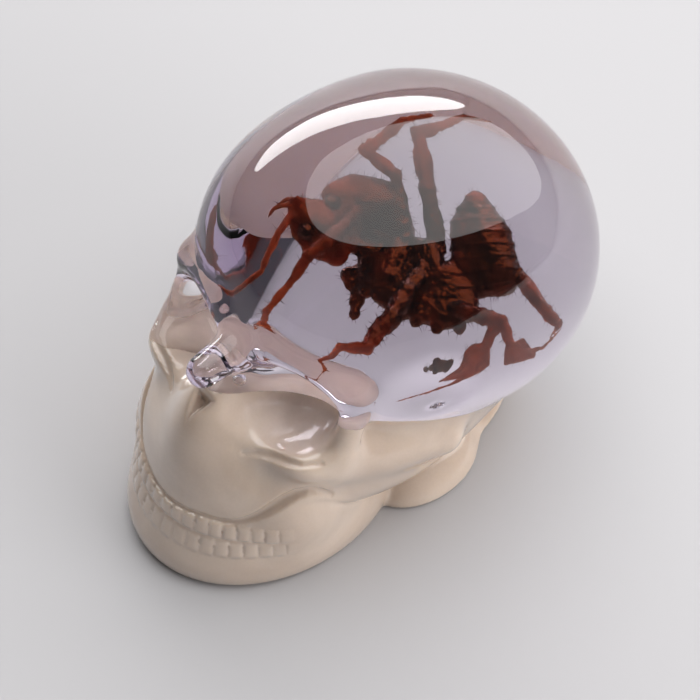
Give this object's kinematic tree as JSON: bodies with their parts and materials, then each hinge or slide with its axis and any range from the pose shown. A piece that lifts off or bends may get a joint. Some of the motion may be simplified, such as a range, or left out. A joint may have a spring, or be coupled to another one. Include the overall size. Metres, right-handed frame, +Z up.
{
  "type": "cast resin skull paperweight with a sealed insect",
  "caption": "Clear cast-resin skull with a cream resin face and jaw on a flat base, and a dark insect sealed inside the clear braincase.",
  "frame": {"origin": "under the middle of the skull's box, on the flat base that it stands on", "axes": "+Z up, the face looks along -Y, the back of the head is on +Y, and the skull is the same on its -X and +X sides"},
  "size_m": [0.0512, 0.0761, 0.0547],
  "materials": {
    "clear_resin": "polished clear cast resin, see-through",
    "cream_resin": "pearly cream cast resin, glossy",
    "insect": "dry dark brown insect, amber where thin"
  },
  "bodies": {
    "root": {"clear_resin_upper": "clear_resin", "clear_resin_lower": "clear_resin", "cream_resin": "cream_resin", "insect": "insect"}
  },
  "joints": []
}
